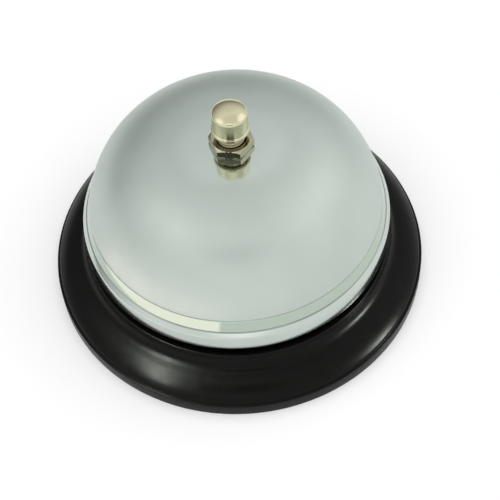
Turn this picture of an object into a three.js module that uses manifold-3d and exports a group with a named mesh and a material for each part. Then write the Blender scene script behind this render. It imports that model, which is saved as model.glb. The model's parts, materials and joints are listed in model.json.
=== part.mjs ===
// Service bell: a plated dome on a black pressed-steel base, rung by a push button.
// Pressing the button drives a rod down, a rocking lever turns on its pin, and the
// hammer at the lever's far end rises to the inside of the dome. Millimetres, +Z up,
// origin at the middle of the foot ring's underside.
import * as THREE from "three";
import { mergeVertices } from "three/addons/utils/BufferGeometryUtils.js";
import Module from "manifold-3d";

const wasm = await Module();
wasm.setup();

// Driving dimensions
const BASE_R = 42.5; // outer radius of the base
const BASE_HEM_Z = 0.1; // lower edge of the base shell, above the foot ring's underside
const BAND_TOP_Z = 3.6; // top of the upright band round the base
const LIP = 0.5; // ledge between the band and the shoulder
const SHOULDER = { r: 33.8, z: -1.6, bend: 10 }; // centre and radius of the rounded shoulder
const FLANK = { r: 37.6, z: 11.9, wide: 2.9, tall: 4.1 }; // hollow from the shoulder up to the ridge
const RIDGE_R = 34.3; // crest of the ridge round the pan
const RIDGE_Z = 12;
const RIDGE_W = 0.55; // width of the crest
const PAN_Z = 8.3; // top of the pan, inside the ridge
const PAN_R = 32.1;
const SHEET = 0.9; // thickness of the base sheet
const FOOT_R = 41.45; // rubber ring under the base
const FOOT_INNER_R = 38.6;
const FOOT_TOP_Z = 2.6;

const RIM_R = 34.7; // lower edge of the dome
const RIM_Z = 15.05;
const FOLD_R = 34.4; // top of the flared rim band, where the sheet folds in
const FOLD_Z = 18.65;
const STRIP = { r: 33.45, low: 19.65, high: 22.75 }; // upright strip from the fold to the crown
const WALL_R = 33; // foot of the crown's curve
const WALL_Z = 19.6;
const CROWN_Z = 41.3; // height that the crown's curve rises to
const CROWN_SPREAD = 3.8; // 2 and 2 would be an ellipse: more spread flattens the crown,
const CROWN_RISE = 1.65; // and less rise leans the flank inwards
const DOME_T = 0.9;
const LAND_R = 6.4; // flat land round the hole in the crown

const SLEEVE_R = 3; // threaded sleeve that carries the dome and guides the rod
const SLEEVE_BORE_R = 1.55;
const SLEEVE_TOP_Z = 46.3;
const ROD_R = 1.25;
const NUT_FLATS = 8.5;
const LOWER_NUT_FLATS = 8;
const NUT_TURN = 9.3; // degrees from a flat facing -Y, towards -X
const THREAD_GAP = 0.1; // radial gap between a thread and its nut
const FIT_GAP = 0.02; // radial gap round a pin or rod that is fixed in its hole

const STROKE = 2.3; // travel of the button
const BUTTON_R = 3.77;
const BUTTON_RING_R = 4.04;
const BUTTON_BASE_Z = 45.9;
const BUTTON_EDGE_Z = 50.9;
const BUTTON_TOP_Z = 52.1;
const BUTTON_BORE_R = 3.25;
const ROD_TOP_Z = 50.9;

const YOKE_T = 1.2; // thickness of the yoke's sheet
const YOKE_TOP_Z = 27.5;
const YOKE_HALF = 5.4; // from the middle to the inside of a leg
const YOKE_FOOT = 13; // from the middle to a foot's end
const YOKE_X = [-5, 10.5];
const RIVET_R = 1.05;
const RIVET_HEAD_R = 2;
const RIVET_INSET = 3; // from the yoke's end to a rivet
const STUD_R = 1.2;
const STUD_HOLE_R = 1.3;

const PIVOT_X = 7;
const PIVOT_Z = 20; // the lever's pin and the rod's cross pin share this height at rest
const PIVOT_R = 0.95;
const PIN_GAP = 0.1;
const CROSS_PIN_R = 0.7;
const LEVER_HALF = 2.8; // from the middle to the outside of a cheek
const LEVER_T = 1;
const HAMMER_X = 23.5;
const HAMMER_R = 3;

const SPRING_Z = [9.1, 16.6];
const SPRING_MEAN_R = 2.1;
const WIRE_R = 0.25;
const SPRING_TURNS = 6;
const STUD_TOP_Z = 12; // tip of the stud that centres the spring

const COARSE = 48; // facets round the big parts
const FINE = 24; // facets round the small parts

// A ring or a solid turned about Z from [radius, height] points.
function turned(profile, facets = FINE) {
  const points = profile.map(([r, z]) => new THREE.Vector2(r, z));
  if (THREE.ShapeUtils.area(points) < 0) points.reverse();
  const onAxis = points.some((p) => p.x === 0);
  if (!onAxis) points.push(points[0].clone());
  while (onAxis && !(points[0].x === 0 && points.at(-1).x === 0)) points.push(points.shift());
  return new THREE.LatheGeometry(points, facets).rotateX(Math.PI / 2);
}

// A tube or disc between two heights, with a hole when the inner radius isn't 0.
function ring(outer, inner, low, high, facets = FINE) {
  return turned([[inner, low], [outer, low], [outer, high], [inner, high]], facets);
}

// Points on an arc in the [radius, height] plane, angles in degrees. With a height of its
// own the arc is part of an ellipse.
function arc(cx, cz, wide, from, to, steps, tall = wide) {
  return Array.from({ length: steps + 1 }, (_, i) => {
    const a = THREE.MathUtils.degToRad(from + ((to - from) * i) / steps);
    return [cx + wide * Math.cos(a), cz + tall * Math.sin(a)];
  });
}

// The closed body of a geometry, for cuts and joins.
function solid(geometry) {
  const bare = geometry.clone();
  bare.deleteAttribute("normal");
  bare.deleteAttribute("uv");
  const merged = mergeVertices(bare, 1e-4);
  return new wasm.Manifold(
    new wasm.Mesh({
      numProp: 3,
      vertProperties: merged.attributes.position.array,
      triVerts: new Uint32Array(merged.index.array),
    }),
  );
}

function geometryOf(body) {
  const mesh = body.getMesh();
  const geometry = new THREE.BufferGeometry();
  geometry.setAttribute("position", new THREE.BufferAttribute(mesh.vertProperties, 3));
  geometry.setIndex(new THREE.BufferAttribute(mesh.triVerts, 1));
  geometry.computeVertexNormals();
  return geometry;
}

// What is left of a geometry after others are taken from it.
function cut(geometry, ...tools) {
  return geometryOf(tools.reduce((body, tool) => body.subtract(solid(tool)), solid(geometry)));
}

// A straight pin or drill along Y, centred on (x, z).
function crossBar(r, x, z, length, facets = FINE) {
  return new THREE.CylinderGeometry(r, r, length, facets).translate(x, 0, z);
}

function upright(r, x, y, low, high, facets = FINE) {
  return new THREE.CylinderGeometry(r, r, high - low, facets)
    .rotateX(Math.PI / 2)
    .translate(x, y, (low + high) / 2);
}

const finishes = {
  plated: { color: 0xb9c2bb, roughness: 0.3, metalness: 1 },
  nickel: { color: 0xc9c3a6, roughness: 0.12, metalness: 1 },
  black: { color: 0x0b0b0c, roughness: 0.35, metalness: 0 },
  zinc: { color: 0xb4b8bc, roughness: 0.4, metalness: 1 },
  steel: { color: 0x8d9094, roughness: 0.35, metalness: 1 },
  brass: { color: 0xc59b4d, roughness: 0.3, metalness: 1 },
  fibre: { color: 0x8a2f22, roughness: 0.8, metalness: 0 },
  rubber: { color: 0x17171a, roughness: 0.85, metalness: 0 },
};

const bell = new THREE.Group();

function add(name, geometry, finish) {
  const mesh = new THREE.Mesh(geometry, new THREE.MeshStandardMaterial(finishes[finish]));
  mesh.name = name;
  bell.add(mesh);
  return mesh;
}

// The base: one sheet drawn into a band, a rounded shoulder, a hollow flank that rises to a
// ridge, and a sunken pan.
function basePiece() {
  const { r, z, bend } = SHOULDER;
  const crestIn = RIDGE_R - RIDGE_W;
  const outer = [
    [BASE_R, BASE_HEM_Z],
    [BASE_R, BAND_TOP_Z - 0.25],
    [BASE_R - 0.2, BAND_TOP_Z],
    [BASE_R - LIP, BAND_TOP_Z + 0.1],
    ...arc(r, z, bend, 37, 67, 4),
    ...arc(FLANK.r, FLANK.z, FLANK.wide, 255, 190, 4, FLANK.tall),
    [RIDGE_R + 0.3, RIDGE_Z - 0.15],
    [RIDGE_R, RIDGE_Z],
    [crestIn, RIDGE_Z - 0.05],
    [crestIn - 0.25, RIDGE_Z - 0.5],
    [PAN_R + 0.5, PAN_Z + 0.4],
    [PAN_R, PAN_Z],
    [0, PAN_Z],
  ];
  const inner = [
    [0, PAN_Z - SHEET],
    [PAN_R + 0.4, PAN_Z - SHEET],
    [PAN_R + 1.1, PAN_Z - SHEET / 3],
    [RIDGE_R - 0.3, RIDGE_Z - 2.1],
    [RIDGE_R - 0.1, RIDGE_Z - 2.2],
    ...arc(FLANK.r, FLANK.z, FLANK.wide + SHEET, 212, 255, 2, FLANK.tall + SHEET),
    ...arc(r, z, bend - SHEET, 67, 40, 3),
    [BASE_R - SHEET, BAND_TOP_Z - 0.6],
    [BASE_R - SHEET, BASE_HEM_Z],
  ];
  const studHole = upright(STUD_HOLE_R, 0, 0, PAN_Z - 2 * SHEET, PAN_Z + SHEET);
  const holes = rivetPlaces().map(([x, y]) => rivetHole(x, y, PAN_Z - 2 * SHEET, PAN_Z + SHEET));
  return cut(turned([...outer, ...inner], COARSE), studHole, ...holes);
}

function rivetHole(x, y, low, high) {
  return upright(RIVET_R + 0.1, x, y, low, high, 16);
}

function rivetPlaces() {
  const y = (YOKE_HALF + YOKE_T + YOKE_FOOT) / 2;
  return [
    [YOKE_X[0] + RIVET_INSET, -y],
    [YOKE_X[1] - RIVET_INSET, -y],
    [YOKE_X[1] - RIVET_INSET, y],
    [YOKE_X[0] + RIVET_INSET, y],
  ];
}

// The crown's curve: radius and height from the wall (turn 0) to the axis (turn 1).
function crownPoint(turn, inset = 0) {
  const a = (turn * Math.PI) / 2;
  return [
    (WALL_R - inset) * Math.cos(a) ** (2 / CROWN_SPREAD),
    WALL_Z + (CROWN_Z - inset - WALL_Z) * Math.sin(a) ** (2 / CROWN_RISE),
  ];
}

// Height of the crown at a radius, and its radius at a height.
function crownHeight(r) {
  return WALL_Z + (CROWN_Z - WALL_Z) * (1 - (r / WALL_R) ** CROWN_SPREAD) ** (1 / CROWN_RISE);
}

function crownRadius(z) {
  const share = (z - WALL_Z) / (CROWN_Z - WALL_Z);
  return WALL_R * (1 - share ** CROWN_RISE) ** (1 / CROWN_SPREAD);
}

const LAND_Z = crownHeight(LAND_R);
const DOME_NUT_H = 2.2;

function domePiece() {
  const hole = SLEEVE_R + THREAD_GAP;
  const steps = 9;
  const outer = [];
  const inner = [];
  for (let i = 0; i <= steps; i++) {
    const turn = (i / steps) ** 1.25;
    const out = crownPoint(turn);
    const within = crownPoint(turn, DOME_T);
    if (out[0] > LAND_R && out[1] > STRIP.high + 0.3) outer.push(out);
    if (within[0] > LAND_R) inner.unshift(within);
  }
  return turned(
    [
      [RIM_R - DOME_T, RIM_Z + 0.15],
      [RIM_R - DOME_T / 2, RIM_Z],
      [RIM_R - 0.1, RIM_Z + 0.1],
      [RIM_R, RIM_Z + 0.4],
      [FOLD_R, FOLD_Z],
      [STRIP.r + 0.1, STRIP.low - 0.1],
      [STRIP.r, STRIP.low + 0.1],
      [crownRadius(STRIP.high), STRIP.high],
      ...outer,
      [LAND_R, LAND_Z],
      [hole, LAND_Z],
      [hole, LAND_Z - DOME_T],
      [LAND_R, LAND_Z - DOME_T],
      ...inner,
      [WALL_R - DOME_T, FOLD_Z + 0.3],
      [FOLD_R - DOME_T, FOLD_Z - 0.6],
    ],
    COARSE,
  );
}

// A hexagon nut with its corners turned off, drilled for the sleeve.
function nutPiece(flats, low, high, turn) {
  const corner = flats / Math.sqrt(3);
  const outline = new THREE.Shape();
  for (let i = 0; i < 6; i++) {
    const a = THREE.MathUtils.degToRad(60 * i - turn);
    const [x, y] = [corner * Math.cos(a), corner * Math.sin(a)];
    if (i === 0) outline.moveTo(x, y);
    else outline.lineTo(x, y);
  }
  outline.closePath();
  const prism = new THREE.ExtrudeGeometry(outline, { depth: high - low, bevelEnabled: false });
  prism.translate(0, 0, low);
  const bevel = corner - flats / 2 + 0.15;
  const drop = bevel * 0.5;
  const blank = turned([
    [0, low],
    [corner - bevel, low],
    [corner, low + drop],
    [corner, high - drop],
    [corner - bevel, high],
    [0, high],
  ]);
  const bore = upright(SLEEVE_R + THREAD_GAP, 0, 0, low - 1, high + 1);
  return geometryOf(solid(prism).intersect(solid(blank)).subtract(solid(bore)));
}

// The button: a thimble that slides down over the top of the sleeve.
function buttonPiece() {
  const ceiling = SLEEVE_TOP_Z + STROKE + 0.1;
  const holeTop = ROD_TOP_Z + 0.1;
  return turned([
    [BUTTON_BORE_R, BUTTON_BASE_Z],
    [BUTTON_RING_R - 0.15, BUTTON_BASE_Z],
    [BUTTON_RING_R, BUTTON_BASE_Z + 0.2],
    [BUTTON_RING_R, BUTTON_BASE_Z + 0.6],
    [BUTTON_R, BUTTON_BASE_Z + 0.9],
    [BUTTON_R, BUTTON_EDGE_Z - 0.1],
    [BUTTON_R - 0.25, BUTTON_EDGE_Z + 0.15],
    [BUTTON_R - 1.2, BUTTON_EDGE_Z + 0.7],
    [BUTTON_R - 2.4, BUTTON_TOP_Z - 0.12],
    [0, BUTTON_TOP_Z],
    [0, holeTop],
    [ROD_R + FIT_GAP, holeTop],
    [ROD_R + FIT_GAP, ceiling],
    [BUTTON_BORE_R, ceiling],
  ]);
}

// The rod: fixed in the button, drilled for its cross pin, with a thin tail for the washer.
const ROD_TAIL_Z = 15.4;
const ROD_SHOULDER_Z = 17.2;
const ROD_TAIL_R = 0.85;

function rodPiece() {
  const rod = turned([
    [0, ROD_TAIL_Z],
    [ROD_TAIL_R - 0.2, ROD_TAIL_Z],
    [ROD_TAIL_R, ROD_TAIL_Z + 0.2],
    [ROD_TAIL_R, ROD_SHOULDER_Z],
    [ROD_R, ROD_SHOULDER_Z],
    [ROD_R, ROD_TOP_Z],
    [0, ROD_TOP_Z],
  ]);
  return cut(rod, crossBar(CROSS_PIN_R + FIT_GAP, 0, PIVOT_Z, 4 * ROD_R, 16));
}

// The yoke: a hat section with two legs, a drilled top and out-turned feet.
function yokePiece() {
  const t = YOKE_T;
  const leg = YOKE_HALF + t;
  const section = new THREE.Shape();
  section.moveTo(-YOKE_FOOT, PAN_Z);
  section.lineTo(-YOKE_HALF, PAN_Z);
  section.lineTo(-YOKE_HALF, YOKE_TOP_Z - t);
  section.lineTo(YOKE_HALF, YOKE_TOP_Z - t);
  section.lineTo(YOKE_HALF, PAN_Z);
  section.lineTo(YOKE_FOOT, PAN_Z);
  section.lineTo(YOKE_FOOT, PAN_Z + t);
  section.lineTo(leg, PAN_Z + t);
  section.lineTo(leg, YOKE_TOP_Z - 0.6);
  section.lineTo(leg - 0.6, YOKE_TOP_Z);
  section.lineTo(-leg + 0.6, YOKE_TOP_Z);
  section.lineTo(-leg, YOKE_TOP_Z - 0.6);
  section.lineTo(-leg, PAN_Z + t);
  section.lineTo(-YOKE_FOOT, PAN_Z + t);
  section.closePath();
  const length = YOKE_X[1] - YOKE_X[0];
  const hat = new THREE.ExtrudeGeometry(section, { depth: length, bevelEnabled: false });
  const turn = new THREE.Matrix4().makeBasis(
    new THREE.Vector3(0, 1, 0),
    new THREE.Vector3(0, 0, 1),
    new THREE.Vector3(1, 0, 0),
  );
  hat.applyMatrix4(turn).translate(YOKE_X[0], 0, 0);
  const drills = [
    upright(SLEEVE_R + THREAD_GAP, 0, 0, YOKE_TOP_Z - 2 * t, YOKE_TOP_Z + t),
    crossBar(PIVOT_R + PIN_GAP, PIVOT_X, PIVOT_Z, 4 * YOKE_HALF),
  ];
  for (const [x, y] of rivetPlaces()) drills.push(rivetHole(x, y, PAN_Z - t, PAN_Z + 2 * t));
  return cut(hat, ...drills);
}

function rivetPiece([x, y]) {
  const under = PAN_Z - SHEET;
  const over = PAN_Z + YOKE_T;
  return turned([
    [0, under - 0.8],
    [RIVET_HEAD_R - 0.5, under - 0.7],
    [RIVET_HEAD_R, under - 0.3],
    [RIVET_HEAD_R, under],
    [RIVET_R, under],
    [RIVET_R, over],
    [RIVET_HEAD_R, over],
    [RIVET_HEAD_R - 0.25, over + 0.6],
    [RIVET_HEAD_R - 1, over + 1],
    [0, over + 1.1],
  ], 16).translate(x, y, 0);
}

// The stud riveted through the pan's middle, which seats and centres the spring.
function studPiece() {
  const under = PAN_Z - SHEET;
  return turned([
    [0, under - 0.7],
    [STUD_R + 0.8, under - 0.6],
    [STUD_R + 1, under],
    [STUD_R, under],
    [STUD_R, PAN_Z],
    [SPRING_MEAN_R + 1.1, PAN_Z],
    [SPRING_MEAN_R + 1.1, SPRING_Z[0]],
    [STUD_R + 0.2, SPRING_Z[0]],
    [STUD_R + 0.2, STUD_TOP_Z - 0.6],
    [STUD_R - 0.2, STUD_TOP_Z],
    [0, STUD_TOP_Z],
  ]);
}

class CoilCurve extends THREE.Curve {
  getPoint(t, target = new THREE.Vector3()) {
    const a = 2 * Math.PI * SPRING_TURNS * t;
    const flat = 0.5 / SPRING_TURNS; // half a turn lies flat at each end
    const even = THREE.MathUtils.clamp((t - flat) / (1 - 2 * flat), 0, 1);
    const low = SPRING_Z[0] + WIRE_R + 0.02;
    const high = SPRING_Z[1] - WIRE_R - 0.02;
    return target.set(
      SPRING_MEAN_R * Math.cos(a),
      SPRING_MEAN_R * Math.sin(a),
      THREE.MathUtils.lerp(low, high, even),
    );
  }
}

function springPiece() {
  const wire = new THREE.Shape().absarc(0, 0, WIRE_R, 0, 2 * Math.PI);
  return new THREE.ExtrudeGeometry(wire, {
    curveSegments: 3,
    steps: SPRING_TURNS * 10,
    extrudePath: new CoilCurve(),
    bevelEnabled: false,
  });
}

// The lever's side view, with its eye on the pivot and a slot for the rod's cross pin.
const WEB_X = 10.2; // the web joins the cheeks from here to the hammer
const LEVER_DEPTH = 1.9; // half the depth of a cheek at the pivot
const TIP_Z = PIVOT_Z + 3.6; // top of the raised end that carries the hammer
const TIP_X = HAMMER_X + 2.6; // the lever's far end
const BEND_LOW_X = PIVOT_X + 4.5; // where the lever starts to rise, along its top
const BEND_HIGH_X = HAMMER_X - 4; // and where it is level again
const SLOT_X = [-0.6, 0.3]; // ends of the slot for the cross pin

function leverPiece() {
  const outline = new THREE.Shape();
  outline.absarc(0, PIVOT_Z, LEVER_DEPTH, Math.PI / 2, 1.5 * Math.PI);
  outline.lineTo(PIVOT_X + 3, PIVOT_Z - LEVER_DEPTH);
  outline.lineTo(HAMMER_X - 5.5, TIP_Z - 3);
  outline.lineTo(TIP_X, TIP_Z - 2.4);
  outline.lineTo(TIP_X, TIP_Z);
  outline.lineTo(BEND_HIGH_X, TIP_Z);
  outline.lineTo(BEND_LOW_X, PIVOT_Z + LEVER_DEPTH);
  outline.closePath();
  const bar = new THREE.ExtrudeGeometry(outline, {
    depth: 2 * LEVER_HALF,
    bevelEnabled: false,
    curveSegments: 10,
  });
  bar.rotateX(Math.PI / 2).translate(0, LEVER_HALF, 0);
  const inside = 2 * (LEVER_HALF - LEVER_T);
  const far = 6; // past the lever on every side
  const channel = new THREE.BoxGeometry(WEB_X + far, inside, 2 * far);
  channel.translate((WEB_X - far) / 2, 0, PIVOT_Z);
  const belly = new THREE.Shape();
  belly.moveTo(WEB_X - 1, PIVOT_Z - far);
  belly.lineTo(WEB_X - 1, PIVOT_Z + LEVER_DEPTH - LEVER_T);
  belly.lineTo(BEND_LOW_X + 0.2, PIVOT_Z + LEVER_DEPTH - LEVER_T);
  belly.lineTo(BEND_HIGH_X + 0.2, TIP_Z - LEVER_T);
  belly.lineTo(HAMMER_X + far, TIP_Z - LEVER_T);
  belly.lineTo(HAMMER_X + far, PIVOT_Z - far);
  belly.closePath();
  const hollow = new THREE.ExtrudeGeometry(belly, { depth: inside, bevelEnabled: false });
  hollow.rotateX(Math.PI / 2).translate(0, inside / 2, 0);
  const slot = new THREE.Shape();
  const slotR = CROSS_PIN_R + 0.15;
  slot.absarc(SLOT_X[0], PIVOT_Z, slotR, Math.PI / 2, 1.5 * Math.PI);
  slot.absarc(SLOT_X[1], PIVOT_Z, slotR, 1.5 * Math.PI, 2.5 * Math.PI);
  slot.closePath();
  const slotCut = new THREE.ExtrudeGeometry(slot, {
    depth: 2 * far,
    bevelEnabled: false,
    curveSegments: 8,
  });
  slotCut.rotateX(Math.PI / 2).translate(0, far, 0);
  return cut(
    bar,
    channel,
    hollow,
    slotCut,
    crossBar(PIVOT_R + PIN_GAP, PIVOT_X, PIVOT_Z, 2 * far),
    upright(SCREW_R + 0.1, HAMMER_X, 0, TIP_Z - 3, TIP_Z + 1, 16),
  );
}

// The hammer: a round slug with a domed face, screwed to the lever from below.
const HAMMER_TOP_Z = TIP_Z + 8.6;
const SCREW_R = 1;
const SCREW_HEAD_R = 1.7;
const SCREW_DEPTH = 3; // of the hole in the hammer

function hammerPiece() {
  return turned([
    [SCREW_R + 0.05, TIP_Z],
    [HAMMER_R - 0.3, TIP_Z],
    [HAMMER_R, TIP_Z + 0.3],
    [HAMMER_R, HAMMER_TOP_Z - 1.8],
    [HAMMER_R - 0.5, HAMMER_TOP_Z - 0.85],
    [HAMMER_R - 1.5, HAMMER_TOP_Z - 0.2],
    [0, HAMMER_TOP_Z],
    [0, TIP_Z + SCREW_DEPTH],
    [SCREW_R + 0.05, TIP_Z + SCREW_DEPTH],
  ]).translate(HAMMER_X, 0, 0);
}

function hammerScrewPiece() {
  const under = TIP_Z - LEVER_T;
  const end = TIP_Z + SCREW_DEPTH - 0.1;
  return turned([
    [0, under - 1.2],
    [SCREW_HEAD_R - 0.4, under - 1.1],
    [SCREW_HEAD_R, under - 0.6],
    [SCREW_HEAD_R, under],
    [SCREW_R, under],
    [SCREW_R, end],
    [0, end],
  ], 16).translate(HAMMER_X, 0, 0);
}

const PIN_HALF = YOKE_HALF + YOKE_T + 1.1;
const PIN_HEAD_R = 1.7;
const CLIP_Y = YOKE_HALF + YOKE_T + 0.1;
const CLIP_T = 0.6;
const CLIP_R = 1.9;
const GROOVE = 0.25; // depth of the clip's groove in the pin

// The pivot pin: a head on one side, a groove for its clip on the other.
function pivotPinPiece() {
  const head = YOKE_HALF + YOKE_T + 0.1;
  return turned([
    [0, -PIN_HALF],
    [PIN_HEAD_R - 0.2, -PIN_HALF + 0.1],
    [PIN_HEAD_R, -PIN_HALF + 0.4],
    [PIN_HEAD_R, -head],
    [PIVOT_R, -head],
    [PIVOT_R, CLIP_Y],
    [PIVOT_R - GROOVE, CLIP_Y],
    [PIVOT_R - GROOVE, CLIP_Y + CLIP_T],
    [PIVOT_R, CLIP_Y + CLIP_T],
    [PIVOT_R, PIN_HALF],
    [0, PIN_HALF],
  ])
    .rotateX(-Math.PI / 2)
    .translate(PIVOT_X, 0, PIVOT_Z);
}

// An open retaining ring that snaps into the pin's groove.
function pinClipPiece() {
  const clip = new THREE.Shape();
  const inner = PIVOT_R - GROOVE + 0.05;
  clip.absarc(0, 0, CLIP_R, -0.3 * Math.PI, 1.3 * Math.PI);
  clip.absarc(0, 0, inner, 1.2 * Math.PI, -0.2 * Math.PI, true);
  clip.closePath();
  const body = new THREE.ExtrudeGeometry(clip, {
    depth: CLIP_T - 0.1,
    bevelEnabled: false,
    curveSegments: 12,
  });
  return body.rotateX(Math.PI / 2).translate(PIVOT_X, CLIP_Y + CLIP_T - 0.05, PIVOT_Z);
}

const SPACER_R = 1.8;

function spacerPiece(side) {
  const low = LEVER_HALF + 0.15;
  const high = YOKE_HALF - 0.1;
  const tube = ring(SPACER_R, PIVOT_R + PIN_GAP, low, high).rotateX(-Math.PI / 2 * side);
  return tube.translate(PIVOT_X, 0, PIVOT_Z);
}

const WASHER_T = 0.8;
const WASHER_R = 6.2;
const LOWER_NUT_H = 2.4;
const WASHER_LOW = LAND_Z - DOME_T - WASHER_T;
const SLEEVE_LOW_Z = 23;
const YOKE_UNDER_Z = YOKE_TOP_Z - YOKE_T;

add("foot_ring", ring(FOOT_R, FOOT_INNER_R, 0, FOOT_TOP_Z, COARSE), "rubber");
add("base_shell", basePiece(), "black");
add("bell_dome", domePiece(), "plated");
add("dome_nut", nutPiece(NUT_FLATS, LAND_Z, LAND_Z + DOME_NUT_H, NUT_TURN), "nickel");
add("dome_washer", ring(WASHER_R, SLEEVE_R + THREAD_GAP, WASHER_LOW, LAND_Z - DOME_T), "fibre");
add("support_nut", nutPiece(LOWER_NUT_FLATS, WASHER_LOW - LOWER_NUT_H, WASHER_LOW, 20), "zinc");
add("guide_sleeve", ring(SLEEVE_R, SLEEVE_BORE_R, SLEEVE_LOW_Z, SLEEVE_TOP_Z), "nickel");
add("yoke", yokePiece(), "zinc");
add("yoke_nut_upper", nutPiece(LOWER_NUT_FLATS, YOKE_TOP_Z, YOKE_TOP_Z + LOWER_NUT_H, 0), "zinc");
add("yoke_nut_lower", nutPiece(LOWER_NUT_FLATS, YOKE_UNDER_Z - LOWER_NUT_H, YOKE_UNDER_Z, 0), "zinc");
rivetPlaces().forEach((place, i) => add(`yoke_rivet_${i + 1}`, rivetPiece(place), "steel"));
add("spring_stud", studPiece(), "steel");
add("return_spring", springPiece(), "steel");
add("pivot_pin", pivotPinPiece(), "steel");
add("pin_clip", pinClipPiece(), "steel");
add("pivot_spacer_left", spacerPiece(1), "brass");
add("pivot_spacer_right", spacerPiece(-1), "brass");
add("striker_lever", leverPiece(), "zinc");
add("hammer_head", hammerPiece(), "brass");
add("hammer_screw", hammerScrewPiece(), "steel");
add("push_button", buttonPiece(), "nickel");
add("plunger_rod", rodPiece(), "steel");
add("cross_pin", crossBar(CROSS_PIN_R, 0, PIVOT_Z, 2 * LEVER_HALF + 0.6, 16), "steel");
add("spring_washer", ring(3, ROD_TAIL_R + 0.1, SPRING_Z[1], ROD_SHOULDER_Z), "steel");

export default bell;
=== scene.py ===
import json
import math

import bmesh
import bpy
from mathutils import Matrix, Vector


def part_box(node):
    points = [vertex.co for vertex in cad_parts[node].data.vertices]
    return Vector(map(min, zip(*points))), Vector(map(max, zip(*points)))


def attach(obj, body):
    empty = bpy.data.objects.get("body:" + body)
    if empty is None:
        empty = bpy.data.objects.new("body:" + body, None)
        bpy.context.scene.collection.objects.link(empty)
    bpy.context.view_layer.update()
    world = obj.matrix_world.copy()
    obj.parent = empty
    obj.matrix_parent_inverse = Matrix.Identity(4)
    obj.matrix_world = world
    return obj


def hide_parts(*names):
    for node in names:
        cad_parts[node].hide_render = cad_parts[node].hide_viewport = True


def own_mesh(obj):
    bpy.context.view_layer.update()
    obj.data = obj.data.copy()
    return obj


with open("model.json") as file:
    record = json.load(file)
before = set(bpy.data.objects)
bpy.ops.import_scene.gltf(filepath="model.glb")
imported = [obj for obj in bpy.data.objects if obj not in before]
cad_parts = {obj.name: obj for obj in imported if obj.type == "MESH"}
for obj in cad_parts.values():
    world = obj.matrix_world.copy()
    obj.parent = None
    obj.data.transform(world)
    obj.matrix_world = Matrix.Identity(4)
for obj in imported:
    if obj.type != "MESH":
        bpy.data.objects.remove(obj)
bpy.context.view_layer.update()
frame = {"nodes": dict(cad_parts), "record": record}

MM = 0.001
ROUND = 160  # facets round a large turned piece
SMALL_ROUND = 96  # facets round the button

# ---------------------------------------------------------------- sizes, from the frame


def low(node):
    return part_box(node)[0]


def high(node):
    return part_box(node)[1]


BASE_R = high("base_shell").x
BASE_LOW = low("base_shell").z
BASE_TOP = high("base_shell").z
RIM_R = high("bell_dome").x
RIM_Z = low("bell_dome").z
CROWN_Z = high("bell_dome").z
SLEEVE_R = high("guide_sleeve").x
SLEEVE_LOW = low("guide_sleeve").z
SLEEVE_TOP = high("guide_sleeve").z
BUTTON_LOW = low("push_button").z
BUTTON_TOP = high("push_button").z
BUTTON_RING_R = high("push_button").x
PAN_Z = low("yoke").z
SPRING_LOW = low("return_spring").z
SPRING_TOP = high("return_spring").z
SPRING_R = high("return_spring").x

# ---------------------------------------------------------------- mesh helpers


def rounded(corners, steps=6):
    """A closed outline of (r, z) points from corners (r, z, fillet), each fillet made an arc."""
    outline = []
    count = len(corners)
    for i, (r, z, fillet) in enumerate(corners):
        here = Vector((r, z))
        if fillet <= 0:
            outline.append(here)
            continue
        back = Vector(corners[i - 1][:2]) - here
        ahead = Vector(corners[(i + 1) % count][:2]) - here
        angle = back.angle(ahead)
        reach = min(fillet / math.tan(angle / 2), 0.49 * back.length, 0.49 * ahead.length)
        radius = reach * math.tan(angle / 2)
        inward = (back.normalized() + ahead.normalized()).normalized()
        middle = here + inward * radius / math.sin(angle / 2)
        start = here + back.normalized() * reach - middle
        turn = start.angle_signed(here + ahead.normalized() * reach - middle)
        for k in range(steps + 1):
            spoke = start.copy()
            spoke.rotate(Matrix.Rotation(-turn * k / steps, 2))
            outline.append(middle + spoke)
    return [(p.x, p.y) for p in outline]


def mesh_object(name, verts, faces, sharp=35):
    """A smooth-shaded piece, with a hard edge wherever two faces meet at over sharp degrees."""
    mesh = bpy.data.meshes.new(name)
    mesh.from_pydata(verts, [], faces)
    bm = bmesh.new()
    bm.from_mesh(mesh)
    bmesh.ops.remove_doubles(bm, verts=bm.verts, dist=1e-7)
    bmesh.ops.recalc_face_normals(bm, faces=bm.faces)
    bm.to_mesh(mesh)
    bm.free()
    for face in mesh.polygons:
        face.use_smooth = True
    mesh.set_sharp_from_angle(angle=math.radians(sharp))
    piece = bpy.data.objects.new(name, mesh)
    bpy.context.scene.collection.objects.link(piece)
    return piece


def turned(name, outline, facets):
    """A piece turned about Z from a closed outline of (r, z) in metres."""
    verts, faces = [], []
    rows = len(outline)
    for k in range(facets):
        a = 2 * math.pi * k / facets
        verts += [(r * math.cos(a), r * math.sin(a), z) for r, z in outline]
    for k in range(facets):
        here, there = k * rows, (k + 1) % facets * rows
        for i in range(rows):
            j = (i + 1) % rows
            if outline[i][0] < 1e-7 and outline[j][0] < 1e-7:
                continue
            if outline[i][0] < 1e-7:
                faces.append((here + i, here + j, there + j))
            elif outline[j][0] < 1e-7:
                faces.append((here + i, here + j, there + i))
            else:
                faces.append((here + i, here + j, there + j, there + i))
    return mesh_object(name, verts, faces)


def place(piece, body, slot, *nodes):
    """Puts a finished piece on its body, in place of its CAD nodes. The slot is not used."""
    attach(piece, body)
    if nodes:
        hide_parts(*nodes)
    return piece


# ---------------------------------------------------------------- materials


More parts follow.
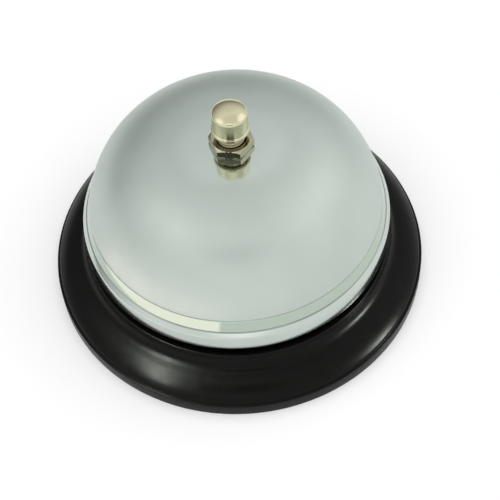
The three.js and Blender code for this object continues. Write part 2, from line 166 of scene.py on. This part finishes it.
class Nodes:
    """A material's node tree, with short calls for what the materials here need."""

    def __init__(self, name):
        self.material = bpy.data.materials.new(name)
        self.material.use_nodes = True
        self.tree = self.material.node_tree
        self.shader = self.tree.nodes["Principled BSDF"]

    def set(self, **values):
        for socket, value in values.items():
            self.shader.inputs[socket.replace("_", " ")].default_value = value

    def add(self, kind, **values):
        node = self.tree.nodes.new(kind)
        for key, value in values.items():
            if key in node.inputs:
                node.inputs[key].default_value = value
            else:
                setattr(node, key, value)
        return node

    def link(self, out, into):
        self.tree.links.new(out, into)

    def place(self):
        """The point on the piece, in its own space."""
        return self.add("ShaderNodeTexCoord").outputs["Object"]

    def stretched(self, scale):
        mapping = self.add("ShaderNodeMapping")
        mapping.inputs["Scale"].default_value = scale
        self.link(self.place(), mapping.inputs["Vector"])
        return mapping.outputs["Vector"]

    def noise(self, scale, detail=3.0, vector=None):
        node = self.add("ShaderNodeTexNoise", Scale=scale, Detail=detail)
        self.link(vector or self.place(), node.inputs["Vector"])
        return node.outputs["Fac"]

    def ramp(self, value, start, end, low, high):
        node = self.add("ShaderNodeMapRange")
        node.interpolation_type = "SMOOTHSTEP"
        for key, number in zip(("From Min", "From Max", "To Min", "To Max"), (start, end, low, high)):
            node.inputs[key].default_value = number
        self.link(value, node.inputs["Value"])
        return node.outputs["Result"]

    def mix(self, fac, a, b):
        node = self.add("ShaderNodeMix", data_type="RGBA")
        node.inputs[6].default_value = (*a, 1)
        node.inputs[7].default_value = (*b, 1)
        self.link(fac, node.inputs[0])
        return node.outputs[2]

    def blend(self, fac, colour, other):
        """One colour that is already a node's output, turned to another by a share."""
        node = self.add("ShaderNodeMix", data_type="RGBA")
        node.inputs[7].default_value = (*other, 1)
        self.link(fac, node.inputs[0])
        self.link(colour, node.inputs[6])
        return node.outputs[2]

    def math(self, operation, a, b=None):
        node = self.add("ShaderNodeMath", operation=operation)
        for i, value in enumerate((a, b)):
            if isinstance(value, (int, float)):
                node.inputs[i].default_value = value
            elif value is not None:
                self.link(value, node.inputs[i])
        return node.outputs[0]

    def length(self, vector):
        node = self.add("ShaderNodeVectorMath", operation="LENGTH")
        self.link(vector, node.inputs[0])
        return node.outputs["Value"]

    def bump(self, height, strength, distance):
        node = self.add("ShaderNodeBump", Strength=strength, Distance=distance)
        self.link(height, node.inputs["Height"])
        self.link(node.outputs["Normal"], self.shader.inputs["Normal"])


def height_of(m):
    """Height on the piece, in metres."""
    split = m.add("ShaderNodeSeparateXYZ")
    m.link(m.place(), split.inputs["Vector"])
    return split.outputs["Z"]


def radius_of(m):
    """Distance from the bell's axis, in metres."""
    return m.length(m.stretched((1, 1, 0)))


def dome_metal():
    """Satin plate on the crown, polished round the nut and below, with painted shade darkening the
    creases.
    """
    m = Nodes("satin_plate")
    m.set(Metallic=1.0, Roughness=0.45)
    height = height_of(m)
    tone = m.mix(m.ramp(m.noise(60, 4), 0.35, 0.7, 0, 1), (0.50, 0.56, 0.52), (0.525, 0.585, 0.545))
    # Painted shade: the upright strip is a darker metal, standing in for the dimmer, partly shaded floor
    # it reflects.
    on_strip = m.math(
        "MULTIPLY",
        m.ramp(height, STRIP_LOW[1], STRIP_LOW[1] + 0.1 * MM, 0, 1),
        m.ramp(height, CREASE_Z - 0.1 * MM, CREASE_Z, 1, 0),
    )
    tone = m.blend(on_strip, tone, (0.43, 0.505, 0.435))
    # Painted shade: the metal is darkened along both fine grooves beside the strip, where shade falls.
    for crease in (STRIP_LOW[1], CREASE_Z):
        away = m.math("ABSOLUTE", m.math("SUBTRACT", height, crease))
        tone = m.blend(m.ramp(away, 0.04 * MM, 0.2 * MM, 0.65, 0), tone, (0.10, 0.115, 0.10))
    m.link(tone, m.shader.inputs["Base Color"])
    satin = m.ramp(m.noise(160, 5), 0.3, 0.7, 0.45, 0.5)
    buffed = m.ramp(radius_of(m), 8 * MM, 14 * MM, 0.2, 1)
    above = m.ramp(height, CREASE_Z - 0.1 * MM, CREASE_Z + 0.1 * MM, 0.22, 1)
    rough = m.math("MULTIPLY", satin, m.math("MINIMUM", buffed, above))
    m.link(rough, m.shader.inputs["Roughness"])
    m.bump(m.noise(900, 2), 0.025, 0.02 * MM)
    return m.material


def bright_metal(name, colour, roughness, grain=0.02):
    """Bright plate with faint turning marks."""
    m = Nodes(name)
    m.set(Metallic=1.0)
    tone = m.mix(m.noise(900, 3), tuple(0.93 * c for c in colour), colour)
    m.link(tone, m.shader.inputs["Base Color"])
    m.link(m.ramp(m.noise(1500, 4), 0.3, 0.7, roughness, 1.6 * roughness), m.shader.inputs["Roughness"])
    m.bump(m.noise(700, 2, m.stretched((1, 1, 9))), grain, 0.02 * MM)
    return m.material


def plain_metal(name, colour, roughness, stretch=(1, 1, 1)):
    """Drawn or pressed metal: grain along one way, duller in patches."""
    m = Nodes(name)
    m.set(Metallic=1.0)
    patch = m.ramp(m.noise(220, 4), 0.35, 0.7, 0, 1)
    m.link(m.mix(patch, tuple(0.72 * c for c in colour), colour), m.shader.inputs["Base Color"])
    grain = m.noise(1400, 5, m.stretched(stretch))
    m.link(m.ramp(grain, 0.25, 0.75, roughness, roughness + 0.18), m.shader.inputs["Roughness"])
    m.bump(grain, 0.12, 0.03 * MM)
    return m.material


def black_paint():
    """Semi-gloss black paint with faint orange peel and a little dust in the gloss."""
    m = Nodes("black_paint")
    m.set(Roughness=0.27, IOR=1.5, Specular_IOR_Level=0.07)
    tone = m.mix(m.noise(240, 4), (0.0030, 0.0032, 0.0027), (0.0050, 0.0052, 0.0046))
    m.link(tone, m.shader.inputs["Base Color"])
    m.link(m.ramp(m.noise(500, 4), 0.3, 0.75, 0.25, 0.3), m.shader.inputs["Roughness"])
    m.bump(m.noise(1100, 2), 0.05, 0.02 * MM)
    return m.material


def dull(name, dark, light, roughness, scale):
    """Rubber or fibre: matt, mottled and slightly rough."""
    m = Nodes(name)
    m.set(Roughness=roughness)
    grain = m.noise(scale, 5)
    m.link(m.mix(grain, dark, light), m.shader.inputs["Base Color"])
    m.link(m.ramp(grain, 0.3, 0.7, roughness - 0.08, roughness + 0.08), m.shader.inputs["Roughness"])
    m.bump(grain, 0.35, 0.06 * MM)
    return m.material


# ---------------------------------------------------------------- the dome

DOME_T = 0.9 * MM  # sheet thickness
WALL_R = RIM_R - 1.7 * MM  # foot of the crown's curve
WALL_LOW = RIM_Z + 4.55 * MM  # and its height
FOLD = (RIM_R - 0.3 * MM, RIM_Z + 3.6 * MM)  # top of the flared rim band
STRIP_LOW = (RIM_R - 1.25 * MM, RIM_Z + 4.6 * MM)  # lower edge of the upright strip
CREASE_Z = RIM_Z + 7.7 * MM  # between the strip and the crown
CREASE = 0.2 * MM  # depth and half width of the fine grooves beside the strip
SPREAD = 3.8  # how full the crown's curve is at the wall
RISE = 1.65  # and at the top


def crown_r(z, inset=0):
    """Radius of the crown's curve at a height."""
    share = (z - WALL_LOW) / (CROWN_Z - inset - WALL_LOW)
    return (WALL_R - inset) * (1 - min(share, 1) ** RISE) ** (1 / SPREAD)


def crown_points(inset, start_z, low_rows, high_rows):
    """The crown's curve: even in height up the wall, then closing in on the axis."""
    top = CREASE_Z + 1.5 * MM
    points = []
    for k in range(low_rows):
        z = start_z + (top - start_z) * k / low_rows
        points.append((crown_r(z, inset), z))
    start = math.asin(((top - WALL_LOW) / (CROWN_Z - inset - WALL_LOW)) ** (RISE / 2))
    for k in range(high_rows + 1):
        a = start + (math.pi / 2 - start) * k / high_rows
        r = (WALL_R - inset) * max(math.cos(a), 0) ** (2 / SPREAD)
        points.append((r, WALL_LOW + (CROWN_Z - inset - WALL_LOW) * math.sin(a) ** (2 / RISE)))
    return [p for p in points if p[0] > SLEEVE_R + 0.1 * MM]


def make_dome():
    """Flared rim band, a fold, an upright strip between two fine grooves, and the crown."""
    hole = SLEEVE_R + 0.1 * MM
    outer = crown_points(0, CREASE_Z + 1.6 * CREASE, 12, 80)
    inner = crown_points(DOME_T, WALL_LOW, 12, 48)
    strip_top = crown_r(CREASE_Z)
    rim = rounded(
        [
            (WALL_R - DOME_T, WALL_LOW - 0.7 * MM, 0.5 * MM),
            (FOLD[0] - DOME_T, FOLD[1] - 0.6 * MM, 0.4 * MM),
            (RIM_R - DOME_T, RIM_Z, 0.2 * MM),
            (RIM_R, RIM_Z, 0.2 * MM),
            (*FOLD, 0.5 * MM),
            (STRIP_LOW[0] + 0.8 * CREASE, STRIP_LOW[1] - 0.5 * CREASE, 0.08 * MM),
            (STRIP_LOW[0] - 0.5 * CREASE, STRIP_LOW[1] + 0.2 * CREASE, 0.06 * MM),
            (STRIP_LOW[0], STRIP_LOW[1] + 1.1 * CREASE, 0.12 * MM),
            (strip_top + 0.1 * CREASE, CREASE_Z - CREASE, 0.12 * MM),
            (strip_top - 0.9 * CREASE, CREASE_Z, 0.06 * MM),
            (crown_r(CREASE_Z + CREASE), CREASE_Z + CREASE, 0.12 * MM),
        ]
    )
    outline = rim + outer + [(hole, outer[-1][1]), (hole, inner[-1][1])] + inner[::-1]
    return turned("dome_fine", outline, ROUND)


# ---------------------------------------------------------------- the base


def arc(r, z, wide, start, end, steps, tall=None):
    """Corners on an arc, angles in degrees: part of an ellipse when it has a height of its own."""
    tall = tall or wide
    turns = [math.radians(start + (end - start) * k / steps) for k in range(steps + 1)]
    return [(r + wide * math.cos(a), z + tall * math.sin(a), 0) for a in turns]


def make_base():
    sheet = 0.9 * MM
    band = BASE_LOW + 3.5 * MM
    crest_r = BASE_R - 8.2 * MM
    crest_in = crest_r - 0.55 * MM
    pan_r = BASE_R - 10.4 * MM
    shoulder = (BASE_R - 8.7 * MM, BASE_TOP - 13.6 * MM)
    bend = 10 * MM
    hollow = (BASE_R - 4.9 * MM, BASE_TOP - 0.1 * MM)
    wide, tall = 2.9 * MM, 4.1 * MM
    corners = [
        (BASE_R - sheet, BASE_LOW, 0.2 * MM),
        (BASE_R, BASE_LOW, 0.3 * MM),
        (BASE_R, band, 0.28 * MM),
        (BASE_R - 0.55 * MM, band + 0.1 * MM, 0.1 * MM),
        *arc(*shoulder, bend, 37, 67, 20),
        *arc(*hollow, wide, 255, 192, 22, tall),
        (crest_r + 0.35 * MM, BASE_TOP, 0.3 * MM),
        (crest_in, BASE_TOP, 0.25 * MM),
        (crest_in - 0.25 * MM, BASE_TOP - 0.6 * MM, 0.3 * MM),
        (pan_r + 0.5 * MM, PAN_Z + 0.3 * MM, 0.3 * MM),
        (pan_r - 0.2 * MM, PAN_Z, 0.5 * MM),
        (0, PAN_Z, 0),
        (0, PAN_Z - sheet, 0),
        (pan_r + 0.6 * MM, PAN_Z - sheet, 0.5 * MM),
        (crest_r - 0.25 * MM, BASE_TOP - 2.1 * MM, 0.12 * MM),
        *arc(*hollow, wide + sheet, 212, 255, 12, tall + sheet),
        *arc(*shoulder, bend - sheet, 67, 40, 12),
        (BASE_R - sheet, band - 0.5 * MM, 0.3 * MM),
    ]
    return turned("base_fine", rounded(corners), ROUND)


def make_foot():
    lo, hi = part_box("foot_ring")
    inner = hi.x - 2.85 * MM
    corners = [
        (inner, lo.z, 0.3 * MM),
        (hi.x, lo.z, 0.3 * MM),
        (hi.x, hi.z, 0.2 * MM),
        (inner, hi.z, 0.2 * MM),
    ]
    return turned("foot_fine", rounded(corners), ROUND)


# ---------------------------------------------------------------- button, nut and sleeve


def make_button():
    body_r = BUTTON_RING_R - 0.27 * MM
    edge = BUTTON_LOW + 5 * MM
    bore = SLEEVE_R + 0.25 * MM
    ceiling = SLEEVE_TOP + 2.4 * MM
    rod_r = high("plunger_rod").x + 0.02 * MM
    rod_top = high("plunger_rod").z + 0.1 * MM
    corners = [
        (bore, BUTTON_LOW, 0.08 * MM),
        (BUTTON_RING_R, BUTTON_LOW, 0.3 * MM),
        (BUTTON_RING_R, BUTTON_LOW + 0.75 * MM, 0.25 * MM),
        (body_r, BUTTON_LOW + 0.95 * MM, 0.12 * MM),
        (body_r, edge, 0.3 * MM),
    ]
    sag = 0.85 * (BUTTON_TOP - edge)
    for k in range(1, 24):
        r = body_r * (1 - k / 24)
        corners.append((r, BUTTON_TOP - sag * (r / body_r) ** 2.8, 0))
    corners += [
        (0, BUTTON_TOP, 0),
        (0, rod_top, 0),
        (rod_r, rod_top, 0),
        (rod_r, ceiling, 0),
        (bore, ceiling, 0.2 * MM),
    ]
    return turned("button_fine", rounded(corners), SMALL_ROUND)


def hexagon(name, node, flats, turn, bore):
    """A nut, turned by degrees, with a fine chamfer at both ends and flat side faces."""
    lo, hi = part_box(node)
    z0, z1 = lo.z, hi.z
    corner = flats / math.sqrt(3)
    per_side, bevel_steps = 12, 5
    chamfer = 0.28 * MM
    rows = []

    def side(a):
        """Radius of the hexagon at an angle."""
        local = (a + math.radians(turn)) % (math.pi / 3) - math.pi / 6
        return flats / 2 / math.cos(local)

    angles = [2 * math.pi * k / (6 * per_side) - math.radians(turn) for k in range(6 * per_side)]
    face_r = flats / 2 * 0.985

    def level(share, z):
        """A ring between the end face's circle (share 0) and the full hexagon (share 1)."""
        return [
            (r * math.cos(a), r * math.sin(a), z)
            for a in angles
            for r in [min(side(a), face_r + (corner - face_r) * share)]
        ]

    rise = (corner - face_r) * math.tan(math.radians(30))
    for k in range(bevel_steps + 1):
        rows.append(level(k / bevel_steps, z0 + rise * k / bevel_steps))
    for k in range(bevel_steps, -1, -1):
        rows.append(level(k / bevel_steps, z1 - rise * k / bevel_steps))
    count = len(angles)
    rows.append([((bore + chamfer) * math.cos(a), (bore + chamfer) * math.sin(a), z1) for a in angles])
    rows.append([(bore * math.cos(a), bore * math.sin(a), z1 - chamfer) for a in angles])
    rows.append([(bore * math.cos(a), bore * math.sin(a), z0 + chamfer) for a in angles])
    rows.append([((bore + chamfer) * math.cos(a), (bore + chamfer) * math.sin(a), z0) for a in angles])
    verts = [v for row in rows for v in row]
    faces = []
    for i in range(len(rows)):
        here, there = i * count, (i + 1) % len(rows) * count
        for k in range(count):
            j = (k + 1) % count
            faces.append((here + k, here + j, there + j, there + k))
    return mesh_object(name, verts, faces, 22)


def make_nut():
    return hexagon("dome_nut_fine", "dome_nut", 8.5 * MM, 9.3, SLEEVE_R + 0.1 * MM)


def make_sleeve():
    """The threaded tube: a helical ridge round it, cut off square at both ends."""
    pitch = 0.75 * MM
    depth = 0.22 * MM
    bore = 1.55 * MM
    per_pitch = 8
    count = 48
    rows = round((SLEEVE_TOP - SLEEVE_LOW) / pitch * per_pitch)
    verts, faces = [], []
    for i in range(rows + 1):
        z = SLEEVE_LOW + (SLEEVE_TOP - SLEEVE_LOW) * i / rows
        fade = min(1, (SLEEVE_TOP - z) / pitch, (z - SLEEVE_LOW) / pitch)
        for k in range(count):
            phase = (z / pitch - k / count) % 1
            groove = (0.5 - 0.5 * math.cos(2 * math.pi * phase)) ** 1.5
            r = SLEEVE_R - depth * groove - 0.25 * MM * (1 - fade)
            a = 2 * math.pi * k / count
            verts.append((r * math.cos(a), r * math.sin(a), z))
    for z in (SLEEVE_TOP, SLEEVE_LOW):
        for k in range(count):
            a = 2 * math.pi * k / count
            verts.append((bore * math.cos(a), bore * math.sin(a), z))
    for i in range(rows + 2):
        for k in range(count):
            j = (k + 1) % count
            here, there = i * count, (i + 1) * count
            faces.append((here + k, here + j, there + j, there + k))
    last = (rows + 2) * count
    faces += [(last + k, last + (k + 1) % count, (k + 1) % count, k) for k in range(count)]
    return mesh_object("sleeve_fine", verts, faces, 60)


def make_spring():
    """A fine coil with its ends laid flat."""
    wire = 0.25 * MM
    mean = SPRING_R - wire
    turns, per_turn, sides = 6, 32, 12
    low_z, high_z = SPRING_LOW + wire, SPRING_TOP - wire
    flat = 0.5 / turns
    steps = turns * per_turn
    verts, faces = [], []
    for i in range(steps + 1):
        t = i / steps
        a = 2 * math.pi * turns * t
        z = low_z + (high_z - low_z) * min(max((t - flat) / (1 - 2 * flat), 0), 1)
        for k in range(sides):
            b = 2 * math.pi * k / sides
            r = mean + wire * math.cos(b)
            verts.append((r * math.cos(a), r * math.sin(a), z + wire * math.sin(b)))
    for i in range(steps):
        for k in range(sides):
            j = (k + 1) % sides
            here, there = i * sides, (i + 1) * sides
            faces.append((here + k, here + j, there + j, there + k))
    faces += [tuple(range(sides)), tuple(range(steps * sides, (steps + 1) * sides))]
    return mesh_object("spring_fine", verts, faces)


# ---------------------------------------------------------------- put the pieces together


def paint(piece, material):
    piece.data.materials.clear()
    piece.data.materials.append(material)


def build():
    plate = dome_metal()
    nickel = bright_metal("bright_nickel", (0.62, 0.59, 0.40), 0.05)
    # A darker copy of the button's nickel for the nut: painted shade on its faces.
    shaded_nickel = bright_metal("shaded_nickel", (0.39, 0.37, 0.26), 0.07)
    # A darker copy of the nickel for the threaded sleeve: painted shade on the neck under the button's
    # ring.
    thread = bright_metal("shaded_thread", (0.32, 0.29, 0.19), 0.2)
    zinc = plain_metal("zinc_steel", (0.66, 0.68, 0.70), 0.28, (1, 9, 1))
    steel = plain_metal("bare_steel", (0.55, 0.55, 0.56), 0.25, (1, 1, 9))
    brass = plain_metal("turned_brass", (0.78, 0.56, 0.25), 0.22, (1, 1, 9))
    paint_black = black_paint()
    rubber = dull("black_rubber", (0.012, 0.012, 0.013), (0.03, 0.03, 0.031), 0.75, 500)
    fibre = dull("red_fibre", (0.16, 0.03, 0.02), (0.30, 0.07, 0.045), 0.8, 700)

    for piece, slot, material, node in (
        (make_dome(), "dome_plate", plate, "bell_dome"),
        (make_base(), "black_paint", paint_black, "base_shell"),
        (make_foot(), "rubber", rubber, "foot_ring"),
        (make_nut(), "bright_nickel", shaded_nickel, "dome_nut"),
        (make_sleeve(), "bright_nickel", thread, "guide_sleeve"),
        (make_spring(), "bare_steel", steel, "return_spring"),
    ):
        paint(piece, material)
        place(piece, "root", slot, node)
        if node == "return_spring":
            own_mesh(piece)
    button = make_button()
    paint(button, nickel)
    place(button, "plunger", "bright_nickel", "push_button")

    finishes = {
        "zinc_steel": zinc,
        "bare_steel": steel,
        "brass": brass,
        "fibre": fibre,
        "rubber": rubber,
        "bright_nickel": nickel,
        "black_paint": paint_black,
        "dome_plate": plate,
    }
    for part in frame["record"]["subparts"]:
        node = frame["nodes"][part["node"]]
        paint(node, finishes[part["material_slot"]])


build()

# ---------------------------------------------------------------- floor, light and camera


def backdrop(name, size, material):
    """A square card on the floor, centred under the bell."""
    mesh = bpy.data.meshes.new(name)
    half = size / 2
    corners = [(-half, -half, 0), (half, -half, 0), (half, half, 0), (-half, half, 0)]
    mesh.from_pydata(corners, [], [(0, 1, 2, 3)])
    card = bpy.data.objects.new(name, mesh)
    bpy.context.scene.collection.objects.link(card)
    card.data.materials.append(material)


def white_floor():
    m = Nodes("floor_white")
    m.set(Base_Color=(0.78, 0.78, 0.78, 1), Roughness=0.7)
    m.set(Emission_Color=(1, 1, 1, 1), Emission_Strength=0.27)
    return m.material


def glowing(name, colour, strength):
    m = Nodes(name)
    m.set(Base_Color=(0, 0, 0, 1), Roughness=1.0, Specular_IOR_Level=0.0)
    m.set(Emission_Color=(*colour, 1), Emission_Strength=strength)
    return m.material


def reflector():
    """A cream card round the left front, flat on the floor, seen only as a reflection in metal."""
    inner, outer, lift = 60 * MM, 94 * MM, 0.5 * MM
    first, step, count = 192, 5, 15  # degrees clockwise from the back
    angles = [math.radians(first + step * k) for k in range(count)]
    verts = [(r * math.sin(a), r * math.cos(a), lift) for a in angles for r in (inner, outer)]
    faces = [(2 * k, 2 * k + 1, 2 * k + 3, 2 * k + 2) for k in range(len(angles) - 1)]
    mesh = bpy.data.meshes.new("cream_card")
    mesh.from_pydata(verts, [], faces)
    mesh.materials.append(glowing("cream_glow", (1, 0.91, 0.88), 1.75))
    card = bpy.data.objects.new("cream_card", mesh)
    bpy.context.scene.collection.objects.link(card)
    for ray in ("camera", "diffuse", "shadow", "transmission"):
        setattr(card, "visible_" + ray, False)


def softbox(name, aim, distance, size, radiance, along, colour):
    """A rectangular light seen from the bell in a direction, its long side along another."""
    away = Vector(aim).normalized()
    long_side = Vector(along)
    long_side = (long_side - long_side.dot(away) * away).normalized()
    light = bpy.data.lights.new(name, "AREA")
    light.shape = "RECTANGLE"
    light.size, light.size_y = size
    light.energy = radiance * math.pi * size[0] * size[1]
    light.color = colour
    lamp = bpy.data.objects.new(name, light)
    bpy.context.scene.collection.objects.link(lamp)
    axes = Matrix((long_side.cross(away), long_side, away)).transposed()
    lamp.matrix_world = Matrix.Translation(away * distance) @ axes.to_4x4()
    lamp.visible_camera = False
    return lamp


def receivers(name, *pieces):
    """A collection of the only pieces that a lamp lights."""
    group = bpy.data.collections.new(name)
    for piece in pieces:
        group.objects.link(bpy.data.objects[piece])
    return group


class WorldNodes(Nodes):
    """The world's node tree, with the same short calls."""

    def __init__(self, name):
        self.world = bpy.data.worlds.new(name)
        self.world.use_nodes = True
        self.tree = self.world.node_tree
        self.aim = self.add("ShaderNodeTexCoord").outputs["Generated"]

    def toward(self, direction):
        """1 looking in a direction, 0 across it, -1 away from it."""
        node = self.add("ShaderNodeVectorMath", operation="DOT_PRODUCT")
        node.inputs[1].default_value = Vector(direction).normalized()
        self.link(self.aim, node.inputs[0])
        return node.outputs["Value"]

    def patch(self, direction, inside, outside, level):
        """A soft round patch between two angles: a level inside it, 1 outside."""
        limits = math.cos(math.radians(outside)), math.cos(math.radians(inside))
        return self.ramp(self.toward(direction), *limits, 1, level)


def make_world():
    """A white tent, dimmer low down at the back left and where the camera looks in."""
    w = WorldNodes("studio")
    tent = w.ramp(w.toward((0.35, -0.72, 0.6)), -0.9, 0.35, 0.21, 1.08)
    for patch in (
        w.patch((0.10, -0.70, 0.71), 7, 13, 0.06),  # two openings where the camera looks in
        w.patch((-0.18, -0.69, 0.71), 7, 13, 0.06),
        w.patch((-0.04, -0.69, 0.71), 16, 31, 1.38),  # and the brighter cloth round them
        w.patch((0.06, 0.02, 1), 8, 32, 0.84),  # thinner cloth overhead
        w.patch((0.67, 0.13, 0.73), 7, 24, 1.4),  # lamps outside the tent
        w.patch((-0.67, -0.1, 0.73), 8, 24, 1.4),
    ):
        tent = w.math("MULTIPLY", tent, patch)
    background = w.tree.nodes["Background"]
    background.inputs["Color"].default_value = (1, 1, 1, 1)
    w.link(tent, background.inputs["Strength"])
    bpy.context.scene.world = w.world


def make_camera():
    """The view from in front and well above, with a slight roll."""
    pitch, roll = 0.9697, -0.0625  # radians: down from level, and right side down when negative
    place_at = Vector((0.0025, -0.1730, 0.2535))
    look = Vector((0, math.cos(pitch), -math.sin(pitch)))
    side = Vector((1, 0, 0))
    up = Vector((0, math.sin(pitch), math.cos(pitch)))
    right = math.cos(roll) * side + math.sin(roll) * up
    top = -math.sin(roll) * side + math.cos(roll) * up
    data = bpy.data.cameras.new("camera")
    data.sensor_width = 36
    data.lens = 93.5
    data.clip_start = 0.005
    camera = bpy.data.objects.new("camera", data)
    bpy.context.scene.collection.objects.link(camera)
    camera.matrix_world = Matrix(
        (
            (right.x, top.x, -look.x, place_at.x),
            (right.y, top.y, -look.y, place_at.y),
            (right.z, top.z, -look.z, place_at.z),
            (0, 0, 0, 1),
        )
    )
    bpy.context.scene.camera = camera


BASE_LIGHT = (0.93, 1, 0.88)  # colour of both lamps on the base

backdrop("floor", 6, white_floor())
make_world()
reflector()
only_base = receivers("lit_by_base_lights", "base_fine")
for lamp in (
    softbox("left_overhead", (-0.58, -0.42, 0.70), 0.8, (0.10, 0.6), 75, (0.34, 0.61, 0.42), BASE_LIGHT),
    softbox("right_low", (0.94, -0.33, 0.09), 0.9, (0.2, 0.15), 100, (0, 0, 1), BASE_LIGHT),
):
    lamp.light_linking.receiver_collection = only_base
    lamp.visible_diffuse = False
make_camera()
bpy.context.scene.view_settings.view_transform = "Standard"
